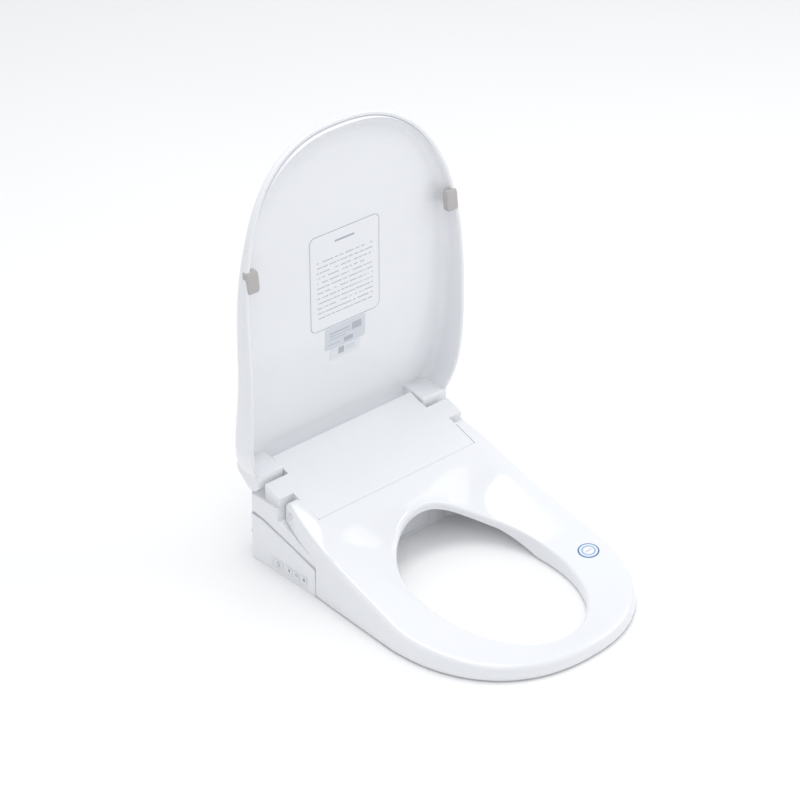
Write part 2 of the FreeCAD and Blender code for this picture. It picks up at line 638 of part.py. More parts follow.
def spray_gate():
    leaf = box(-GATE_HALF_WIDTH, GATE_HALF_WIDTH, CASE_FRONT_Y, CASE_FRONT_Y + GATE_THICK,
               GATE_BOTTOM_Z, GATE_AXIS_Z - 1.0)
    barrel = rod((1, 0, 0), (-GATE_HALF_WIDTH, GATE_AXIS_Y, GATE_AXIS_Z), 1.9, 2 * GATE_HALF_WIDTH)
    gate = leaf.fuse(barrel)
    return gate.cut(rod((1, 0, 0), (-60.0, GATE_AXIS_Y, GATE_AXIS_Z), 1.0 + RUNNING_GAP, 120.0))


def gate_pin():
    return rod((1, 0, 0), (-55.5, GATE_AXIS_Y, GATE_AXIS_Z), 1.0, 111.0)


def water_tank():
    outer = box(34.0, 130.0, -82.0, 8.0, 15.0, 70.0)
    outer = outer.makeFillet(6.0, outer.Edges)
    inner = box(37.0, 127.0, -79.0, 5.0, 18.0, 67.0)
    return outer.cut(inner).cut(rod((0, 0, 1), (83.0, -35.0, 60.0), 14.2, 20.0)).cut(
        rod((1, 0, 0), (120.0, -12.0, 25.0), 2.6, 20.0))


def tank_cap():
    plug = rod((0, 0, 1), (83.0, -35.0, 66.0), 14.0, 6.0)
    return plug.fuse(rod((0, 0, 1), (83.0, -35.0, 70.2), 18.0, 3.0))


def heating_element():
    coil = rod((0, 0, 1), (83.0, -35.0, 22.0), 3.0, 44.0)
    for z in (22.0, 30.0, 38.0, 46.0):
        coil = coil.fuse(Part.makeTorus(20.0, 3.0, Vector(83.0, -35.0, z + 3.0), Vector(0, 0, 1)))
        coil = coil.fuse(box(83.0, 103.0, -36.0, -34.0, z + 2.0, z + 4.0))
    return coil


def solenoid_valve():
    block = box(140.0, 160.0, -24.0, -1.0, 14.0, 36.0)
    coil = rod((0, 0, 1), (150.0, -12.0, 36.0), 9.0, 22.0)
    return block.fuse(coil)


def feed_pipe():
    return tube((1, 0, 0), (130.0, -12.0, 25.0), 4.0, 2.6, 10.0)


def water_inlet():
    spigot = tube((0, 1, 0), (150.0, -0.9, 25.0), 9.8, 7.0, 26.0)
    spigot = spigot.fuse(tube((0, 1, 0), (150.0, CASE_REAR_Y + 0.3, 25.0), 10.4, 7.0, 16.0))
    nut = rod((0, 1, 0), (150.0, 3.0, 25.0), 13.0, 6.0).cut(rod((0, 1, 0), (150.0, 2.0, 25.0), 8.0, 9.0))
    return spigot.fuse(nut)


def cord_gland():
    neck = tube((0, 1, 0), (-150.0, 12.0, 25.0), 7.1, 3.6, 22.0)
    return neck.fuse(tube((0, 1, 0), (-150.0, 15.0, 25.0), 9.5, 3.6, 6.0))


# ---------------------------------------------------------------- warm air unit

def blower_housing():
    drum = rod((0, 0, 1), (FAN_X, FAN_Y, FAN_Z), FAN_RADIUS, FAN_HEIGHT)
    mouth = box(-58.0, -24.0, FAN_Y - 32.0, FAN_Y - 4.0, FAN_Z, FAN_Z + FAN_HEIGHT)
    throat = box(-76.0, -26.0, FAN_Y - 30.0, FAN_Y - 6.0, FAN_Z + 2.0, FAN_Z + FAN_HEIGHT - 2.0)
    hollow = rod((0, 0, 1), (FAN_X, FAN_Y, FAN_Z + 2.0), FAN_RADIUS - 2.0, FAN_HEIGHT - 4.0)
    link = box(-76.0, -56.0, FAN_Y - 32.0, FAN_Y - 4.0, FAN_Z, FAN_Z + FAN_HEIGHT)
    shell = drum.fuse(mouth).fuse(link).cut(hollow).cut(throat)
    shell = shell.cut(box(-56.0, -26.0, FAN_Y - 33.0, FAN_Y - 20.0, FAN_Z + 2.0, FAN_Z + FAN_HEIGHT - 2.0))
    return shell.cut(rod((0, 0, 1), (FAN_X, FAN_Y, FAN_Z + 20.0), 3.4, 20.0))


def fan_impeller():
    hub = rod((0, 0, 1), (FAN_X, FAN_Y, FAN_Z + 4.0), 6.0, 16.0)
    plate = rod((0, 0, 1), (FAN_X, FAN_Y, FAN_Z + 4.0), 29.0, 1.6)
    wheel = hub.fuse(plate)
    for i in range(16):
        blade = box(20.0, 28.5, -0.7, 0.7, FAN_Z + 5.0, FAN_Z + 21.0)
        blade.rotate(Vector(24.0, 0, 0), Vector(0, 0, 1), 35.0)
        blade.rotate(Vector(0, 0, 0), Vector(0, 0, 1), 360.0 * i / 16)
        blade.translate(Vector(FAN_X, FAN_Y, 0))
        wheel = wheel.fuse(blade)
    return wheel.cut(rod((0, 0, 1), (FAN_X, FAN_Y, FAN_Z + 6.0), 1.5 + RUNNING_GAP, 20.0))


def blower_motor():
    can = rod((0, 0, 1), (FAN_X, FAN_Y, FAN_Z + FAN_HEIGHT + 0.1), 13.0, 16.0)
    return can.fuse(rod((0, 0, 1), (FAN_X, FAN_Y, FAN_Z + 8.0), 1.5, FAN_HEIGHT - 7.0))


def dryer_duct():
    outer = box(-58.0, -24.0, -91.0, FAN_Y - 32.1, FAN_Z, FAN_Z + FAN_HEIGHT)
    duct = outer.cut(box(-56.0, -26.0, -92.0, FAN_Y, FAN_Z + 2.0, FAN_Z + FAN_HEIGHT - 2.0))
    return duct.cut(box(-60.0, -51.9, -92.0, -88.3, GATE_AXIS_Z - 4.3, GATE_AXIS_Z + 4.0))


def main_board():
    board = box(-132.0, -22.0, -82.0, 8.0, 60.0, 61.6)
    for x, y, w, h in ((-112, -60, 22, 12), (-78, -58, 16, 16), (-48, -60, 18, 8), (-110, -20, 26, 14), (-60, -18, 20, 6)):
        board = board.fuse(box(x - w / 2, x + w / 2, y - 8, y + 8, 61.6, 61.6 + h))
    return board


def main():
    os.makedirs("parts", exist_ok=True)
    lid = lid_shell()
    pieces = {
        "lid_shell": lid, "lid_bumpers": lid_bumpers(lid), "lid_hinge_pins": lid_hinge_pins(),
        "lid_dampers": lid_dampers(), "care_label": sticker(61.5, 299.0, 441.0, lid),
        "rating_sticker": sticker(35.5, 264.0, 297.0, lid),
        "seat_upper_shell": seat_upper_shell(), "seat_base_plate": seat_base_plate(),
        "seat_heating_foil": seat_heating_foil(), "seat_bumpers": seat_bumpers(),
        "seat_hinge_pins": seat_hinge_pins(), "seat_dampers": seat_dampers(), "seat_badge": seat_badge(),
        "base_housing": base_housing(), "top_cover": top_cover(),
        "control_side_panel": control_side_panel(), "plain_side_panel": plain_side_panel(),
        "button_trim": button_trim(), "button_board": button_board(),
        "mounting_plate": mounting_plate(), "release_button": release_button(),
        "release_latch": release_latch(), "case_screws": case_screws(),
        "nozzle_tip": nozzle_tip(), "wand_tube": wand_tube(), "wand_rack": wand_rack(),
        "wand_guide": wand_guide(), "drive_pinion": drive_pinion(), "wand_motor": wand_motor(),
        "spray_gate": spray_gate(), "gate_pin": gate_pin(),
        "water_tank": water_tank(), "tank_cap": tank_cap(), "heating_element": heating_element(),
        "solenoid_valve": solenoid_valve(), "feed_pipe": feed_pipe(), "water_inlet": water_inlet(),
        "cord_gland": cord_gland(),
        "blower_housing": blower_housing(), "fan_impeller": fan_impeller(),
        "blower_motor": blower_motor(), "dryer_duct": dryer_duct(), "main_board": main_board(),
    }
    for index, name in enumerate(BUTTON_NAMES):
        pieces[name] = side_button(index)
    for node, shape in pieces.items():
        print(node, "solids", len(shape.Solids), "volume %.0f" % shape.Volume, "valid", shape.isValid())
        save(shape, node)


main()
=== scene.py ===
from math import radians

import bpy
import numpy as np
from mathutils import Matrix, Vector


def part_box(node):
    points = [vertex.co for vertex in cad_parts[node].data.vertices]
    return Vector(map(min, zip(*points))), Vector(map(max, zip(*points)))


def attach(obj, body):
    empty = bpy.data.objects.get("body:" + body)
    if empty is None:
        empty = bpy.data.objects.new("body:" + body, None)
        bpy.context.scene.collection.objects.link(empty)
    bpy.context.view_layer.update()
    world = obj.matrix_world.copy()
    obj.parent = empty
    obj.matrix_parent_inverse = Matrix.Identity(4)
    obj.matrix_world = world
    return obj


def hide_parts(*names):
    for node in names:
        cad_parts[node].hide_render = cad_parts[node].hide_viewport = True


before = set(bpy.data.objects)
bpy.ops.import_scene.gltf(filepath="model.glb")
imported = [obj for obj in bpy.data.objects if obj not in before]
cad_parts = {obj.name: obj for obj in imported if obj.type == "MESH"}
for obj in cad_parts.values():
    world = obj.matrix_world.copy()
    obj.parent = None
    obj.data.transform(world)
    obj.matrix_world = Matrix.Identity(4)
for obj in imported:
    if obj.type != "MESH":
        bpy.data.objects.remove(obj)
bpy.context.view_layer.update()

# An electric bidet seat with its lid open and its seat down. The case's midline is x = 0, the
# front faces -Y, and z = 0 is the flat underside. Lengths are in metres.


def smoothStep(low, high, value):
    share = np.clip((value - low) / (high - low), 0.0, 1.0)
    return share * share * (3.0 - 2.0 * share)


def arcSpaced(x, z, count):
    # an outline given densely, walked again in equal steps of its own length
    length = np.concatenate([[0.0], np.cumsum(np.hypot(np.diff(x), np.diff(z)))])
    walk = np.linspace(0.0, length[-1], count)
    return np.interp(walk, length, x), np.interp(walk, length, z)


def gridFaces(rows, columns, closedRows, closedColumns):
    # quads between neighbouring points of a rows x columns grid, wrapped where it is closed
    r = np.arange(rows if closedRows else rows - 1)
    c = np.arange(columns if closedColumns else columns - 1)
    i, j = np.meshgrid(r, c, indexing="ij")
    ni, nj = (i + 1) % rows, (j + 1) % columns
    return np.stack([i * columns + j, i * columns + nj, ni * columns + nj, ni * columns + j], -1).reshape(-1, 4)


def newPiece(name, points, faces, material, smoothAngle=40.0):
    mesh = bpy.data.meshes.new(name)
    mesh.from_pydata(np.asarray(points, float).reshape(-1, 3).tolist(), [], [list(map(int, f)) for f in faces])
    mesh.validate()
    mesh.update()
    piece = bpy.data.objects.new(name, mesh)
    bpy.context.scene.collection.objects.link(piece)
    mesh.materials.append(material)
    mesh.polygons.foreach_set("use_smooth", np.ones(len(mesh.polygons), bool))
    mesh.set_sharp_from_angle(angle=radians(smoothAngle))
    return piece


def closeCaps(rows, columns):
    # one face over each end of a tube of closed rows
    first = list(range(columns))
    last = list(range((rows - 1) * columns, rows * columns))
    return [first, last[::-1]]


def outward(piece):
    # turns a closed shell's faces so that they all look out
    import bmesh
    shell = bmesh.new()
    shell.from_mesh(piece.data)
    bmesh.ops.remove_doubles(shell, verts=shell.verts, dist=1e-6)
    bmesh.ops.recalc_face_normals(shell, faces=shell.faces)
    shell.to_mesh(piece.data)
    shell.free()
    return piece


def applied(piece):
    # the piece with its modifiers worked into its mesh
    view = bpy.context.evaluated_depsgraph_get()
    mesh = bpy.data.meshes.new_from_object(piece.evaluated_get(view))
    piece.modifiers.clear()
    piece.data = mesh
    return piece


def cutAway(piece, *tools):
    for tool in tools:
        cut = piece.modifiers.new("cut", "BOOLEAN")
        cut.operation = "DIFFERENCE"
        cut.solver = "EXACT"
        cut.object = tool
    bpy.context.view_layer.update()
    applied(piece)
    for tool in tools:
        bpy.data.objects.remove(tool)
    piece.data.polygons.foreach_set("use_smooth", np.ones(len(piece.data.polygons), bool))
    piece.data.set_sharp_from_angle(angle=radians(32.0))
    return piece


def sideBlock(name, outline, x0, x1, material):
    # a side-view outline of (y, z) points carried from x0 to x1
    ring = np.array(outline, float)
    points = np.stack([np.column_stack([np.full(len(ring), x), ring]) for x in (x0, x1)])
    faces = list(gridFaces(2, len(ring), False, True)) + closeCaps(2, len(ring))
    return outward(newPiece(name, points, faces, material))


# ---- materials ----

class Shade:
    # a socket that can be reckoned with: an expression on it adds its Math nodes
    def __init__(self, maker, socket):
        self.maker = maker
        self.socket = socket

    def reckon(self, operation, *values):
        return self.maker.node("ShaderNodeMath", {"operation": operation}, dict(enumerate(values)))

    def __add__(self, other):
        return self.reckon("ADD", self, other)

    def __radd__(self, other):
        return self.reckon("ADD", other, self)

    def __sub__(self, other):
        return self.reckon("SUBTRACT", self, other)

    def __rsub__(self, other):
        return self.reckon("SUBTRACT", other, self)

    def __mul__(self, other):
        return self.reckon("MULTIPLY", self, other)

    def __rmul__(self, other):
        return self.reckon("MULTIPLY", other, self)

    def __truediv__(self, other):
        return self.reckon("DIVIDE", self, other)

    def __lt__(self, other):
        return self.reckon("LESS_THAN", self, other)

    def __gt__(self, other):
        return self.reckon("GREATER_THAN", self, other)

    def __abs__(self):
        return self.reckon("ABSOLUTE", self)


class Finish:
    # one material's node tree, with a shader whose fixed values are set at once
    def __init__(self, name, fixed):
        self.material = bpy.data.materials.new(name)
        self.material.use_nodes = True
        self.tree = self.material.node_tree
        self.shader = self.tree.nodes["Principled BSDF"]
        for socket, value in fixed.items():
            self.shader.inputs[socket].default_value = value

    def node(self, kind, settings=None, values=None, output=0):
        made = self.tree.nodes.new(kind)
        for key, value in (settings or {}).items():
            if key == "stops":
                self.setStops(made.color_ramp, value)
            else:
                setattr(made, key, value)
        for key, value in (values or {}).items():
            self.feed(made.inputs[key], value)
        return Shade(self, made.outputs[output])

    def setStops(self, ramp, stops):
        while len(ramp.elements) < len(stops):
            ramp.elements.new(0.5)
        for element, (place, colour) in zip(ramp.elements, stops):
            element.position = place
            element.color = (*colour, 1.0)

    def feed(self, socket, value):
        if isinstance(value, Shade):
            self.tree.links.new(value.socket, socket)
        else:
            socket.default_value = value

    def surface(self, **values):
        for name, value in values.items():
            self.feed(self.shader.inputs[name.replace("_", " ")], value)

    def place(self):
        # x, y and z of the piece's own frame
        here = self.node("ShaderNodeTexCoord", output="Object")
        split = self.tree.nodes.new("ShaderNodeSeparateXYZ")
        self.feed(split.inputs[0], here)
        return here, [Shade(self, split.outputs[i]) for i in range(3)]

    def noise(self, here, scale, detail=2.0):
        return self.node("ShaderNodeTexNoise", {}, {"Vector": here, "Scale": scale, "Detail": detail})

    def mix(self, mask, first, second):
        return self.node("ShaderNodeMix", {"data_type": "RGBA"}, {0: mask, 6: first, 7: second}, output=2)

    def bump(self, height, strength, distance):
        return self.node("ShaderNodeBump", {}, {"Height": height, "Strength": strength, "Distance": distance})


def mouldedGloss(name, colour, shade, rough=0.13):
    # glossy moulded plastic: flow marks in the colour, a faint orange-peel skin, and handling haze
    finish = Finish(name, {"IOR": 1.47, "Coat Weight": 0.35, "Coat Roughness": 0.05})
    here, _ = finish.place()
    flow = finish.noise(here, 7.0, 3.0)
    haze = finish.noise(here, 26.0, 4.0)
    peel = finish.noise(here, 420.0, 2.0)
    finish.surface(Base_Color=finish.mix(flow, (*colour, 1.0), (*shade, 1.0)),
                   Roughness=rough + 0.07 * haze,
                   Normal=finish.bump(peel, 0.05, 0.0004))
    return finish.material


def mouldedSatin(name, colour, shade, rough=0.42, grain=900.0):
    # spark-eroded satin plastic: a fine grain, with slow changes in shade
    finish = Finish(name, {"IOR": 1.48})
    here, _ = finish.place()
    slow = finish.noise(here, 14.0, 3.0)
    fine = finish.noise(here, grain, 2.0)
    finish.surface(Base_Color=finish.mix(slow, (*colour, 1.0), (*shade, 1.0)),
                   Roughness=rough + 0.12 * fine,
                   Normal=finish.bump(fine, 0.12, 0.0003))
    return finish.material


def brushedSteel(name, colour, shade):
    # steel brushed along X: the noise is stretched along the brushing
    finish = Finish(name, {"IOR": 2.5, "Metallic": 1.0})
    here, _ = finish.place()
    stretched = finish.node("ShaderNodeVectorMath", {"operation": "MULTIPLY"}, {0: here, 1: (30.0, 900.0, 900.0)})
    lines = finish.noise(stretched, 1.0, 3.0)
    finish.surface(Base_Color=finish.mix(lines, (*colour, 1.0), (*shade, 1.0)),
                   Roughness=0.24 + 0.2 * lines,
                   Normal=finish.bump(lines, 0.15, 0.0002))
    return finish.material


def insideBox(u, v, halfU, halfV, centreU=0.0, centreV=0.0):
    # 1 inside a rectangle of the plane, 0 outside
    return (abs(u - centreU) < halfU) * (abs(v - centreV) < halfV)


def frameLine(finish, u, v, halfU, halfV, corner, width):
    # the line of a rounded rectangle: how far a point lies past the corner circles' centres
    past = [finish.node("ShaderNodeMath", {"operation": "MAXIMUM"}, {0: abs(w) - (half - corner), 1: 0.0})
            for w, half in ((u, halfU), (v, halfV))]
    away = finish.node("ShaderNodeVectorMath", {"operation": "LENGTH"}, {0: finish.node(
        "ShaderNodeCombineXYZ", {}, {0: past[0], 1: past[1], 2: 0.0})}, output="Value")
    return (away < corner) * (away > corner - width)


careSheet = dict(halfWidth=0.0615, bottom=0.299, top=0.4415, ink=(0.30, 0.33, 0.40, 1.0),
                 paper=(0.85, 0.86, 0.885, 1.0), rule=0.0075, margin=0.0125)


def careFilm():
    # printed film: a thin frame line, a short heading bar, and ruled bars broken up into word-like dashes
    finish = Finish("careFilm", {"IOR": 1.45})
    here, (x, _, z) = finish.place()
    middle = (careSheet["bottom"] + careSheet["top"]) / 2
    half = (careSheet["top"] - careSheet["bottom"]) / 2
    edge = frameLine(finish, x, z - middle, careSheet["halfWidth"] - 0.0006, half - 0.0006, 0.0095, 0.0009)
    heading = insideBox(x, z, 0.017, 0.0014, 0.0, middle + half - 0.017)
    row = finish.node("ShaderNodeMath", {"operation": "FRACT"}, {0: z / careSheet["rule"]})
    rowNumber = finish.node("ShaderNodeMath", {"operation": "FLOOR"}, {0: z / careSheet["rule"]})
    spot = finish.node("ShaderNodeCombineXYZ", {}, {0: x * 300.0, 1: rowNumber * 7.31, 2: 0.0})
    dash = finish.node("ShaderNodeTexNoise", {}, {"Vector": spot, "Scale": 1.0, "Detail": 0.0}) > 0.42
    body = insideBox(x, z, careSheet["halfWidth"] - careSheet["margin"], half - 0.026, 0.0, middle - 0.012)
    print_ = (abs(row - 0.5) < 0.11) * dash * body * 0.62
    ink = finish.node("ShaderNodeMath", {"operation": "MAXIMUM"}, {0: edge + heading * 0.8, 1: print_})
    speck = finish.noise(here, 1500.0)
    finish.surface(Base_Color=finish.mix(ink, careSheet["paper"], careSheet["ink"]),
                   Roughness=0.3 + 0.1 * speck, Normal=finish.bump(speck, 0.06, 0.0002))
    return finish.material


def ratingFilm(name, paper, panels):
    # silver-grey film with a few blank panels, each centre and half size in metres
    finish = Finish(name, {"IOR": 1.45})
    here, (x, _, z) = finish.place()
    ink = 0.0
    for centreX, centreZ, halfX, halfZ, weight in panels:
        ink = insideBox(x, z, halfX, halfZ, centreX, centreZ) * weight + ink
    weave = finish.noise(here, 1200.0)
    finish.surface(Base_Color=finish.mix(ink, paper, (0.30, 0.32, 0.36, 1.0)),
                   Roughness=0.28 + 0.14 * weave, Normal=finish.bump(weave, 0.05, 0.0002))
    return finish.material


def badgeEnamel(centre):
    # rings about the badge's centre: dark blue, light blue, grey blue, then a white field with one bar
    finish = Finish("badgeEnamel", {"IOR": 1.5, "Coat Weight": 0.8, "Coat Roughness": 0.03})
    here, (x, y, _) = finish.place()
    away = finish.node("ShaderNodeVectorMath", {"operation": "LENGTH"}, {0: finish.node(
        "ShaderNodeCombineXYZ", {}, {0: x - centre[0], 1: y - centre[1], 2: 0.0})}, output="Value")
    rings = finish.node("ShaderNodeValToRGB", {"stops": [
        (0.0, (0.86, 0.88, 0.93)), (0.48, (0.86, 0.88, 0.93)), (0.53, (0.40, 0.50, 0.66)),
        (0.66, (0.42, 0.53, 0.70)), (0.70, (0.78, 0.87, 0.96)), (0.84, (0.70, 0.83, 0.95)),
        (0.88, (0.05, 0.16, 0.42)), (1.0, (0.04, 0.13, 0.36))]}, {0: away / 0.0148})
    bar = insideBox(x, y, 0.0052, 0.0011, centre[0], centre[1])
    grit = finish.noise(here, 1300.0)
    finish.surface(Base_Color=finish.mix(bar * 0.8, rings, (0.62, 0.52, 0.56, 1.0)),
                   Roughness=0.10 + 0.06 * grit, Normal=finish.bump(grit, 0.04, 0.0002))
    return finish.material


def keyPlastic(name, centreY, centreZ, mark):
    # satin key with one generic mark: a ring, a dot, a bar or a square, in grey
    finish = Finish(name, {"IOR": 1.48})
    here, (_, y, z) = finish.place()
    u, v = y - centreY, z - centreZ
    away = finish.node("ShaderNodeVectorMath", {"operation": "LENGTH"}, {0: finish.node(
        "ShaderNodeCombineXYZ", {}, {0: u, 1: v, 2: 0.0})}, output="Value")
    shapes = {"ring": (abs(away - 0.0024) < 0.00055) + insideBox(u, v, 0.0045, 0.0004, 0.0, -0.0042),
              "drop": (away < 0.0021) + insideBox(u, v, 0.0003, 0.0042, 0.0, 0.0),
              "wave": insideBox(u, v, 0.0032, 0.0006, 0.0, 0.0016) + insideBox(u, v, 0.0032, 0.0006, 0.0, -0.0012),
              "square": insideBox(u, v, 0.0022, 0.0022)}
    grain = finish.noise(here, 900.0)
    finish.surface(Base_Color=finish.mix(shapes[mark] * 0.75, (0.80, 0.81, 0.83, 1.0), (0.22, 0.23, 0.25, 1.0)),
                   Roughness=0.36 + 0.1 * grain, Normal=finish.bump(grain, 0.1, 0.0002))
    return finish.material


whiteGloss = mouldedGloss("whiteGloss", (0.83, 0.84, 0.865), (0.86, 0.87, 0.89))
whiteSatin = mouldedSatin("whiteSatin", (0.74, 0.75, 0.77), (0.78, 0.79, 0.81))
greyRubber = mouldedSatin("greyRubber", (0.46, 0.44, 0.43), (0.52, 0.50, 0.49), 0.62, 700.0)
darkPlastic = mouldedSatin("darkPlastic", (0.045, 0.048, 0.055), (0.07, 0.073, 0.08), 0.4, 800.0)
innerPlastic = mouldedSatin("innerPlastic", (0.62, 0.65, 0.68), (0.70, 0.72, 0.75), 0.35, 600.0)
steel = brushedSteel("steel", (0.60, 0.61, 0.63), (0.72, 0.73, 0.75))
motorSteel = brushedSteel("motorSteel", (0.34, 0.34, 0.36), (0.46, 0.46, 0.48))
boardGreen = mouldedSatin("boardGreen", (0.02, 0.14, 0.06), (0.04, 0.20, 0.09), 0.3, 500.0)
print("materials made")


# ---- lid ----

lidShape = dict(halfWidth=0.1915, widestZ=0.300, topZ=0.591, cornerZ=0.131, earInnerX=0.1279,
                bottomZ=0.1212, cornerRound=0.010, edgeRound=0.016, lipWidth=0.0062, lipRound=0.0022, wall=0.0036, centreZ=0.335)


def lidHalfWidth(z):
    # a superellipse arch above the widest level, and a soft waist down to the hinge
    up = np.clip((z - lidShape["widestZ"]) / (lidShape["topZ"] - lidShape["widestZ"]), 0.0, 1.0)
    down = np.clip((lidShape["widestZ"] - z) / (lidShape["widestZ"] - lidShape["cornerZ"]), 0.0, 1.0)
    return lidShape["halfWidth"] * (1.0 - up ** 3) ** 0.42 - 0.0185 * down ** 6


def lidRimY(z):
    # the rim line bows forward as two parabolas that meet at z = 0.265
    rise = z - 0.265
    return -0.0155 + np.where(rise > 0, 0.355, 0.86) * rise * rise


def lidPanelY(z):
    # the inner panel is flat in the middle and sweeps back at the hinge and at the top
    low = np.clip((lidShape["widestZ"] - z) / 0.163, 0.0, 1.0)
    high = np.clip((z - 0.440) / 0.148, 0.0, 1.0)
    return 0.0155 + 0.0235 * low ** 1.6 + 0.0120 * high ** 2


def lidOutline(count):
    # the closed outline: the arch, two rounded lower corners, and the straight edge over the hinge
    s = lidShape
    r = s["cornerRound"]
    turnZ = s["bottomZ"] + r
    arch = s["topZ"] - (s["topZ"] - turnZ) * np.linspace(0.0, 1.0, 400) ** 2.4
    turn = np.linspace(0.0, np.pi / 2, 24)[1:]
    cornerX = lidHalfWidth(turnZ)
    x = np.concatenate([lidHalfWidth(arch), cornerX - r * (1 - np.cos(turn)), np.linspace(cornerX - r, 0.0, 60)])
    z = np.concatenate([arch, turnZ - r * np.sin(turn), np.full(60, s["bottomZ"])])
    x, z = arcSpaced(x, z, count)
    return np.concatenate([x, -x[-2:0:-1]]), np.concatenate([z, z[-2:0:-1]])


def lidSkin():
    # one closed surface: from the middle of the back, over the edge and the rim, down the inner wall and
    # across the panel to its middle. Each row follows the outline, moved in by a distance, and then scaled
    # towards the middle. The lip fades out along the hinge edge
    s = lidShape
    x, z = lidOutline(150)
    tangent = np.stack([np.roll(x, -1) - np.roll(x, 1), np.roll(z, -1) - np.roll(z, 1)])
    tangent /= np.hypot(*tangent)
    inX, inZ = tangent[1], -tangent[0]
    lip = np.maximum(smoothStep(0.1250, 0.1330, z), smoothStep(0.1690, 0.1725, np.abs(x)))
    rows = []

    def addRow(inset, y, shrink=0.0):
        px = (x + inX * inset) * (1.0 - shrink)
        pz = s["centreZ"] + (z + inZ * inset - s["centreZ"]) * (1.0 - shrink)
        rows.append(np.stack([px, y(pz), pz], -1))

    round_ = s["edgeRound"] - 0.009 * smoothStep(0.480, 0.580, z)
    crown = lambda pz: lidPanelY(pz) + s["wall"] + 0.0035
    hinge = 1.0 - lip
    rim = lidRimY(z) * lip + (lidPanelY(z) - 0.001) * hinge
    for shrink in np.linspace(0.985, 0.0, 22):
        addRow(round_, lambda pz: crown(pz) - 0.0035 * (1 - shrink) ** 3, shrink)
    back = crown(z) - 0.0035
    rY = np.minimum(round_, 0.8 * (back - rim))
    for turn in np.linspace(0.0, np.pi / 2, 10)[1:]:
        addRow(round_ * (1 - np.sin(turn)), lambda pz, turn=turn: back - rY * (1 - np.cos(turn)))
    for share in (0.33, 0.66, 1.0):
        addRow(0.0, lambda pz, share=share: (back - rY) * (1 - share) + (rim + s["lipRound"]) * share)
    for turn in np.linspace(0.0, np.pi, 9)[1:]:
        addRow(s["lipWidth"] / 2 * (1 - np.cos(turn)),
               lambda pz, turn=turn: rim + s["lipRound"] * (1 - np.sin(turn)) * lip)
    inner = lidPanelY(z)
    fillet = 0.010 * lip + 0.001
    start = rim + s["lipRound"] * lip
    for share in (0.4, 0.8):
        addRow(s["lipWidth"] + 0.001 * share, lambda pz, share=share: start * (1 - share) + (inner - fillet) * share)
    for turn in np.linspace(0.0, np.pi / 2, 8):
        addRow(s["lipWidth"] + 0.001 + 0.012 * (1 - np.cos(turn)),
               lambda pz, turn=turn: inner - fillet * (1 - np.sin(turn)))
    for shrink in np.linspace(0.0, 0.985, 26)[1:]:
        addRow(s["lipWidth"] + 0.013, lidPanelY, shrink)
    points = np.stack(rows)
    count = points.shape[1]
    middle = [[0.0, float(crown(s["centreZ"])), s["centreZ"]], [0.0, float(lidPanelY(s["centreZ"])), s["centreZ"]]]
    faces = [list(f) for f in gridFaces(len(rows), count, False, True)]
    total = len(rows) * count
    ring = np.arange(count)
    faces += [[total, int((i + 1) % count), int(i)] for i in ring]
    last = (len(rows) - 1) * count
    faces += [[total + 1, int(last + i), int(last + (i + 1) % count)] for i in ring]
    skin = newPiece("lid_skin", np.concatenate([points.reshape(-1, 3), middle]), faces, whiteGloss, 50.0)
    return outward(skin)


earShape = dict(innerX=0.1279, outerX=0.1728, axisY=0.012, axisZ=0.119, radius=0.0134, edge=0.0018)


def lidEar(side):
    # the ear's side view, a round hinge barrel below a sloping top, carried along x with rounded ends
    s = earShape
    turn = np.linspace(np.pi, 1.72 * np.pi, 22)
    barrel = np.stack([s["axisY"] + s["radius"] * np.cos(turn) - 0.0, s["axisZ"] + s["radius"] * np.sin(turn)], -1)
    barrel[:, 0] = np.maximum(barrel[:, 0], -0.0008)
    nose = np.array([[-0.0008, 0.1292], [0.0010, 0.1316], [0.0040, 0.1324]])
    top = np.array([[0.020, 0.1348], [0.036, 0.1370], [0.0420, 0.1372], [0.0428, 0.1340], [0.0405, 0.1260]])
    ring = np.concatenate([barrel, top[::-1], nose[::-1]])
    centre = ring.mean(0)
    places = np.concatenate([s["innerX"] + s["edge"] * (1 - np.cos(np.linspace(0, np.pi / 2, 5))),
                             s["outerX"] - s["edge"] * (1 - np.sin(np.linspace(0, np.pi / 2, 5)))])
    inset = np.concatenate([s["edge"] * (1 - np.sin(np.linspace(0, np.pi / 2, 5))),
                            s["edge"] * (1 - np.cos(np.linspace(0, np.pi / 2, 5)))])
    away = ring - centre
    away = away / np.linalg.norm(away, axis=1)[:, None]
    rows = [np.column_stack([np.full(len(ring), side * x), ring - away * d]) for x, d in zip(places, inset)]
    faces = list(gridFaces(len(rows), len(ring), False, True)) + closeCaps(len(rows), len(ring))
    name = "lid_ear_left" if side > 0 else "lid_ear_right"
    return outward(newPiece(name, np.stack(rows), faces, whiteGloss))


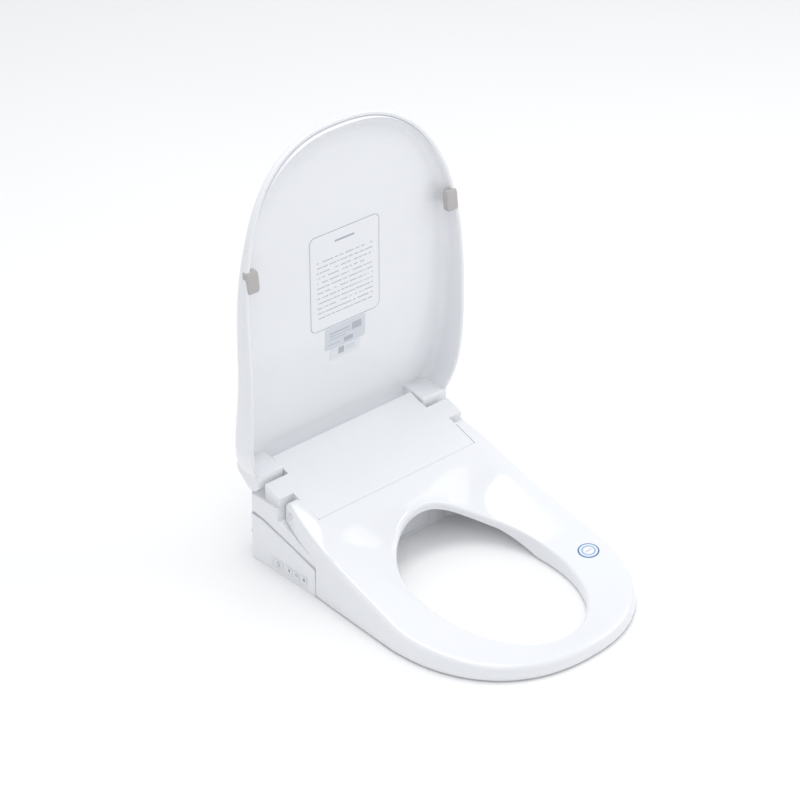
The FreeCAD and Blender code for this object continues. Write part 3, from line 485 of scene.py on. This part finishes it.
def panelFilm(name, halfWidth, bottom, top, corner, material):
    # a thin film that follows the lid's panel, with rounded corners
    z = np.linspace(bottom, top, 40)
    up = np.minimum(z - bottom, top - z)
    cut = np.where(up < corner, corner - np.sqrt(np.maximum(0.0, corner ** 2 - (corner - up) ** 2)), 0.0)
    across = np.linspace(-1.0, 1.0, 9)
    x = across[None, :] * (halfWidth - cut)[:, None]
    level = np.repeat(z[:, None], 9, 1)
    front = np.stack([x, lidPanelY(level) - 0.00035, level], -1)
    behind = np.stack([x, lidPanelY(level) + 0.0002, level], -1)
    n = front.shape[0] * 9
    sheetFaces = gridFaces(40, 9, False, False)
    rim = np.concatenate([np.arange(9), 9 * np.arange(1, 40) + 8, 39 * 9 + np.arange(7, -1, -1),
                          9 * np.arange(38, 0, -1)])
    walls = np.stack([rim, np.roll(rim, -1), np.roll(rim, -1) + n, rim + n], -1)
    faces = list(sheetFaces) + list(sheetFaces[:, ::-1] + n) + list(walls)
    film = newPiece(name, np.concatenate([front.reshape(-1, 3), behind.reshape(-1, 3)]), faces, material, 30.0)
    return outward(film)


bumperShape = dict(x=0.1738, z=0.4280, halfWidth=0.0098, halfHeight=0.0150, proud=0.0019, deep=0.0070)


def lidBumper(side):
    # a rubber pad with a superellipse outline and a crowned face, leaning with the rim
    s = bumperShape
    turn = np.linspace(0, 2 * np.pi, 64, endpoint=False)
    ox = s["halfWidth"] * np.sign(np.cos(turn)) * np.abs(np.cos(turn)) ** 0.32
    oz = s["halfHeight"] * np.sign(np.sin(turn)) * np.abs(np.sin(turn)) ** 0.32
    rows = []
    for share, depth in ((0.0, -1.0), (0.35, -0.985), (0.7, -0.93), (0.88, -0.8), (0.96, -0.55), (1.0, 0.1)):
        rows.append((share, s["proud"] * depth))
    rows += [(1.0, s["deep"]), (0.0, s["deep"])]
    points = [np.stack([side * (s["x"] + ox * share), lidRimY(s["z"] + oz * share) + depth, s["z"] + oz * share], -1)
              for share, depth in rows]
    faces = gridFaces(len(rows), len(turn), False, True)
    name = "lid_bumper_left" if side > 0 else "lid_bumper_right"
    return outward(newPiece(name, np.stack(points), list(faces), greyRubber))


lid = lidSkin()
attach(lid, "lid")
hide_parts("lid_shell")
for side in (-1, 1):
    ear = lidEar(side)
    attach(ear, "lid")
    bumper = lidBumper(side)
    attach(bumper, "lid")
    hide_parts("lid_bumpers")
care = panelFilm("care_film", careSheet["halfWidth"], careSheet["bottom"], careSheet["top"], 0.0105, careFilm())
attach(care, "lid")
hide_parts("care_label")
rating = panelFilm("rating_film", 0.0355, 0.264, 0.2975, 0.002, ratingFilm("ratingFilm", (0.66, 0.69, 0.74, 1.0), [
    (-0.010, 0.288, 0.018, 0.0012, 0.5), (-0.010, 0.2835, 0.018, 0.0008, 0.4), (-0.014, 0.279, 0.014, 0.0008, 0.4),
    (0.020, 0.2865, 0.0085, 0.0055, 0.55), (0.006, 0.2705, 0.008, 0.0035, 0.6), (-0.020, 0.2705, 0.010, 0.0008, 0.4)]))
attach(rating, "lid")
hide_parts("rating_sticker")
batch = panelFilm("batch_film", 0.0256, 0.2455, 0.2635, 0.001, ratingFilm("batchFilm", (0.76, 0.78, 0.82, 1.0), [
    (-0.006, 0.2560, 0.0052, 0.0052, 0.65), (0.010, 0.2580, 0.008, 0.0008, 0.4), (0.010, 0.2540, 0.008, 0.0008, 0.4)]))
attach(batch, "lid")
print("lid made")


# ---- seat ----

seatShape = dict(halfWidth=0.182, taper=0.045, frontY=-0.458, centreY=-0.262, rearY=0.010, bottomZ=0.0015,
                 edgeRound=0.0085, lipRound=0.0060, holeHalfWidth=0.105, holeFrontY=-0.411, holeRearY=-0.133,
                 rearEdgeY=-0.0898, armInnerX=0.143, axisY=-0.057, axisZ=0.093, armReach=0.0140, armHalfHeight=0.0152)


coverShape = dict(frontY=-0.0892, frontZ=0.0957, slope=0.3433)


def sideEdgeZ(y):
    # a wedge at the back, nearly level in front
    back = np.maximum(0.0, y + 0.300)
    front = np.clip((y + 0.458) / 0.158, 0.0, 1.0)
    return 0.0205 + 0.0115 * front ** 1.3 + 0.16 * back + 0.48 * back * back


def seatOutlines(count):
    # two closed loops at the same bearings: the outer edge and the opening's edge, as x, y and z
    s = seatShape
    bearing = np.linspace(0.0, 2 * np.pi, count, endpoint=False)
    c, d = np.cos(bearing), np.sin(bearing)
    power = np.where(d < 0, 0.88, 0.34)
    reach = np.where(d < 0, s["centreY"] - s["frontY"], s["rearY"] - s["centreY"])
    y = s["centreY"] + reach * np.sign(d) * np.abs(d) ** power
    x = s["halfWidth"] * np.sign(c) * np.abs(c) ** power
    x = x * (1.0 - s["taper"] * np.maximum(0.0, y + 0.273) / s["halfWidth"])
    z = sideEdgeZ(y) + np.where(d > 0, 0.0095 * (1 - np.abs(x) / s["halfWidth"]), 0.0)
    hole = np.where(d < 0, s["centreY"] - s["holeFrontY"], s["holeRearY"] - s["centreY"])
    hx = s["holeHalfWidth"] * np.sign(c) * np.abs(c) ** 0.92
    hy = s["centreY"] + hole * np.sign(d) * np.abs(d) ** 0.96
    hz = 0.013 + 0.016 * (1 + d) + 0.031 * np.maximum(0.0, d) ** 5
    return (x, y, z), (hx, hy, hz)


def rampZ(y):
    return coverShape["frontZ"] + coverShape["slope"] * (y - coverShape["frontY"])


def meetCover(points):
    # towards the seam the top turns into the cover's ramp, and out at the sides into the side edge's height
    x, y, z = points[..., 0], points[..., 1], points[..., 2]
    ramp = rampZ(y)
    out = smoothStep(0.145, 0.176, np.abs(x))
    near = smoothStep(-0.150, -0.0890, y)
    level = z + near * (1 - out) * (ramp - z)
    return np.stack([x, y, level], -1)


def seatRing():
    # a closed ring: each bearing has a section from the skirt's foot, over the outer edge, down the dished
    # top, round the opening's lip, down its wall and back along the underside
    s = seatShape
    (x, y, z), (hx, hy, hz) = seatOutlines(288)
    gap = np.hypot(hx - x, hy - y)
    ux, uy = (hx - x) / gap, (hy - y) / gap
    rise = np.clip((z - s["bottomZ"]) / 0.05, 0.25, 1.0)
    lean = 0.0035 * rise
    r = np.minimum(s["edgeRound"], 0.45 * (z - s["bottomZ"]))
    p = s["lipRound"]
    wallFoot = np.maximum(s["bottomZ"], hz - 0.0135 - 0.03 * smoothStep(0.04, 0.02, hz))
    rows = []

    def addRow(inset, level):
        rows.append(np.stack([x + ux * inset, y + uy * inset, level], -1))

    foot = 0.0015
    addRow(foot + 0.003, np.full_like(x, s["bottomZ"]))
    addRow(foot, s["bottomZ"] + 0.0005 + 0 * x)
    addRow(foot * 0.25, s["bottomZ"] + 0.0022 + 0 * x)
    for share in (0.25, 0.5, 0.75):
        addRow(lean * share * share, s["bottomZ"] + 0.003 + (z - r - s["bottomZ"] - 0.003) * share)
    for turn in np.linspace(0.0, np.pi / 2, 9):
        addRow(lean + r * (1 - np.cos(turn)), z - r + r * np.sin(turn))
    span = gap - (lean + r) - p
    firstTop = len(rows) - 3
    for share in np.linspace(0.0, 1.0, 26)[1:-1]:
        dip = share ** 1.08
        addRow(lean + r + span * share, z + (hz - z) * dip)
    topRows = (firstTop, len(rows))
    for turn in np.linspace(0.0, np.pi / 2, 7):
        addRow(gap - p + p * np.sin(turn), hz - p + p * np.cos(turn))
    for share in (0.5, 1.0):
        addRow(gap - 0.0006 * share, (hz - p) * (1 - share) + (wallFoot + 0.001) * share)
    addRow(gap - 0.003, wallFoot)
    for share in (0.75, 0.5, 0.25):
        under = wallFoot * share + s["bottomZ"] * (1 - share)
        addRow(foot + 0.004 + (gap - foot - 0.008) * share, under)
    points = np.stack(rows)
    points[topRows[0]:topRows[1]] = meetCover(points[topRows[0]:topRows[1]])
    faces = gridFaces(len(rows), points.shape[1], True, True)
    return outward(newPiece("seat_skin", points, faces, whiteGloss, 32.0))


def seatSkin():
    # the ring, cut back to the seam and to the two round-ended arms, and cut free of the case under it
    s = seatShape
    ring = seatRing()
    wide, high = 0.25, 0.30
    notch = sideBlock("notch", [(s["rearEdgeY"], -0.1), (s["rearEdgeY"], high), (0.1, high), (0.1, -0.1)],
                      -s["armInnerX"], s["armInnerX"], whiteGloss)
    turn = np.linspace(np.pi / 2, -np.pi / 2, 40)
    end = np.stack([s["axisY"] + s["armReach"] * np.abs(np.cos(turn)) ** 0.40,
                    s["axisZ"] + s["armHalfHeight"] * np.sign(np.sin(turn)) * np.abs(np.sin(turn)) ** 0.40], -1)
    behind = sideBlock("behind", [(s["axisY"], high), *end.tolist(), (s["axisY"], -0.1), (0.1, -0.1), (0.1, high)],
                       -wide, wide, whiteGloss)
    under = sideBlock("under", [(-0.1178, -0.1), (-0.1178, 0.0562), (-0.0440, 0.0800), (0.05, 0.1107), (0.05, -0.1)],
                      -wide, wide, whiteGloss)
    return cutAway(ring, notch, behind, under)


seat = seatSkin()
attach(seat, "seat")
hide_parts("seat_upper_shell", "seat_base_plate", "seat_heating_foil")
print("seat made")


# ---- case ----

badgeShape = dict(centre=(0.1408, -0.3127, 0.0279), normal=(-0.107, -0.077, 1.0), radius=0.0148, proud=0.00035,
                  edge=0.0006, deep=0.0015)


def badgeDisc():
    # a thin disc with a rounded rim, square to the seat's surface
    s = badgeShape
    up = np.array(s["normal"]) / np.linalg.norm(s["normal"])
    side = np.cross([0.0, 1.0, 0.0], up)
    side /= np.linalg.norm(side)
    ahead = np.cross(up, side)
    turn = np.linspace(0.0, 2 * np.pi, 96, endpoint=False)
    ring = np.cos(turn)[:, None] * side + np.sin(turn)[:, None] * ahead
    bend = np.linspace(0.0, np.pi / 2, 5)
    profile = [(s["radius"] * share, s["proud"]) for share in (0.3, 0.6, 0.85)]
    profile += [(s["radius"] - s["edge"] * (1 - np.sin(b)), s["proud"] - s["edge"] * (1 - np.cos(b))) for b in bend]
    profile += [(s["radius"], -s["deep"])]
    rows = [np.array(s["centre"]) + ring * reach + up * height for reach, height in profile]
    faces = list(gridFaces(len(rows), len(turn), False, True)) + closeCaps(len(rows), len(turn))
    return outward(newPiece("badge_disc", np.stack(rows), faces, badgeEnamel(s["centre"])))


def softened(node, name, width, material):
    # a copy of the node's solid, merged into whole faces, with its long outer edges rounded over
    import bmesh
    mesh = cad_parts[node].data.copy()
    shell = bmesh.new()
    shell.from_mesh(mesh)
    bmesh.ops.remove_doubles(shell, verts=shell.verts, dist=2e-6)
    bmesh.ops.dissolve_limit(shell, angle_limit=radians(0.6), verts=shell.verts, edges=shell.edges)
    weights = shell.edges.layers.float.new("bevel_weight_edge")
    for edge in shell.edges:
        if edge.calc_length() > 0.006 and edge.is_convex and edge.calc_face_angle(0.0) > radians(14.0):
            edge[weights] = 1.0
    shell.to_mesh(mesh)
    shell.free()
    mesh.materials.clear()
    mesh.materials.append(material)
    mesh.polygons.foreach_set("use_smooth", np.ones(len(mesh.polygons), bool))
    mesh.set_sharp_from_angle(angle=radians(32.0))
    piece = bpy.data.objects.new(name, mesh)
    bpy.context.scene.collection.objects.link(piece)
    soft = piece.modifiers.new("softEdges", "BEVEL")
    soft.width = width
    soft.segments = 3
    soft.limit_method = "WEIGHT"
    soft.use_clamp_overlap = False
    soft.harden_normals = True
    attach(piece, "case")
    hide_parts(node)
    return piece


badge = badgeDisc()
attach(badge, "seat")
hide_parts("seat_badge")
softened("top_cover", "cover_skin", 0.0016, whiteGloss)
softened("control_side_panel", "control_panel_skin", 0.0010, whiteGloss)
softened("plain_side_panel", "plain_panel_skin", 0.0010, whiteGloss)


def finishOf(node, material):
    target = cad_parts[node]
    target.data.materials.clear()
    target.data.materials.append(material)


for node in ("button_trim", "release_button"):
    finishOf(node, whiteGloss)
for node in ("base_housing", "spray_gate"):
    finishOf(node, whiteSatin)
finishOf("seat_bumpers", greyRubber)
for node in ("lid_hinge_pins", "seat_hinge_pins", "mounting_plate", "case_screws", "gate_pin", "heating_element"):
    finishOf(node, steel)
for node in ("wand_motor", "blower_motor", "solenoid_valve"):
    finishOf(node, motorSteel)
for node in ("lid_dampers", "seat_dampers", "release_latch", "cord_gland", "drive_pinion", "wand_guide",
             "wand_rack", "tank_cap"):
    finishOf(node, darkPlastic)
for node in ("wand_tube", "nozzle_tip", "water_tank", "water_inlet", "feed_pipe", "blower_housing", "dryer_duct",
             "fan_impeller"):
    finishOf(node, innerPlastic)
for node in ("main_board", "button_board"):
    finishOf(node, boardGreen)
for node, mark in (("rear_wash_button", "ring"), ("front_wash_button", "drop"), ("dryer_button", "wave"),
                   ("stop_button", "square")):
    low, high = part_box(node)
    finishOf(node, keyPlastic(node + "Plastic", (low[1] + high[1]) / 2, (low[2] + high[2]) / 2, mark))
print("case made")


# ---- stage ----

studio = dict(floorColour=(0.93, 0.93, 0.93, 1.0), worldStrength=1.0, camera=(-1.97409, -2.24489, 1.96702),
              tilt=90.0 - 30.8435, turn=-42.5228, lens=115.57)


def makeStage():
    size = 6.0
    corners = [(-size, -size, -0.0002), (size, -size, -0.0002), (size, size, -0.0002), (-size, size, -0.0002)]
    paper = Finish("paper", {"Roughness": 0.9})
    here, _ = paper.place()
    paper.surface(Base_Color=paper.mix(paper.noise(here, 3.0), studio["floorColour"], (0.95, 0.95, 0.95, 1.0)))
    floor = newPiece("floor", corners, [[0, 1, 2, 3]], paper.material)


def makeLight(name, place, aim, size, watts):
    lamp = bpy.data.lights.new(name, "AREA")
    lamp.energy = watts
    lamp.shape = "DISK"
    lamp.size = size
    holder = bpy.data.objects.new(name, lamp)
    bpy.context.scene.collection.objects.link(holder)
    holder.location = place
    from mathutils import Vector
    holder.rotation_euler = (Vector(aim) - Vector(place)).to_track_quat("-Z", "Y").to_euler()


def makeCamera():
    view = bpy.data.cameras.new("camera")
    view.lens = studio["lens"]
    view.sensor_width = 36.0
    holder = bpy.data.objects.new("camera", view)
    bpy.context.scene.collection.objects.link(holder)
    holder.location = studio["camera"]
    holder.rotation_euler = (radians(studio["tilt"]), 0.0, radians(studio["turn"]))
    bpy.context.scene.camera = holder


makeStage()
makeCamera()
makeLight("keyLight", (-0.9, -1.3, 2.4), (0.0, -0.2, 0.2), 1.6, 6.5)
makeLight("rightLight", (2.2, -1.2, 1.6), (0.0, -0.2, 0.2), 1.8, 12.0)
makeLight("topLight", (0.2, 0.3, 2.8), (0.0, -0.2, 0.1), 1.8, 26.0)
world = bpy.data.worlds.new("studioWorld")
world.use_nodes = True
world.node_tree.nodes["Background"].inputs[0].default_value = (0.96, 0.975, 1.0, 1.0)
world.node_tree.nodes["Background"].inputs[1].default_value = 0.74
bpy.context.scene.world = world
bpy.context.scene.view_settings.view_transform = "Standard"
print("stage made")
